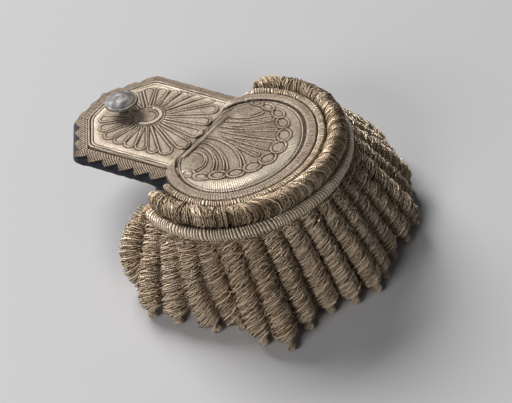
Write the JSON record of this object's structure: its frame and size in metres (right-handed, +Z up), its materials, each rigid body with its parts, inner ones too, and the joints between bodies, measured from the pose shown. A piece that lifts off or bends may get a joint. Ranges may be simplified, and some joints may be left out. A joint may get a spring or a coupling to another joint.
{
  "type": "epaulette",
  "caption": "Officer's epaulette: pressed silver strap and crescent on a padded cloth base, with a lace border, a thick torsade, cords, a button and a heavy bullion fringe.",
  "frame": {"origin": "on the surface that the fringe rests on, under the middle of the whole epaulette", "axes": "+X along the strap from its button end to the outer end of the crescent, +Y across the strap, +Z up"},
  "size_m": [0.161, 0.1524, 0.0535],
  "materials": {
    "navy_cloth": "matt milled wool cloth",
    "silver_lace": "woven silver lace, tarnished",
    "silver_plate": "pressed silvered metal with warm tarnish",
    "bullion": "coils of tarnished silvered wire, twisted into strands",
    "bullion_cord": "cord wound with tarnished silvered wire",
    "button_metal": "worn pewter-grey button metal",
    "tongue_brass": "plain brass spring strip"
  },
  "bodies": {
    "root": {"cloth_base": "navy_cloth", "lace_border": "silver_lace", "pressed_plate": "silver_plate", "inner_cord": "bullion_cord", "torsade": "bullion", "outer_cord": "bullion_cord", "fringe": "bullion", "button": "button_metal", "shoulder_tongue": "tongue_brass"}
  },
  "joints": []
}
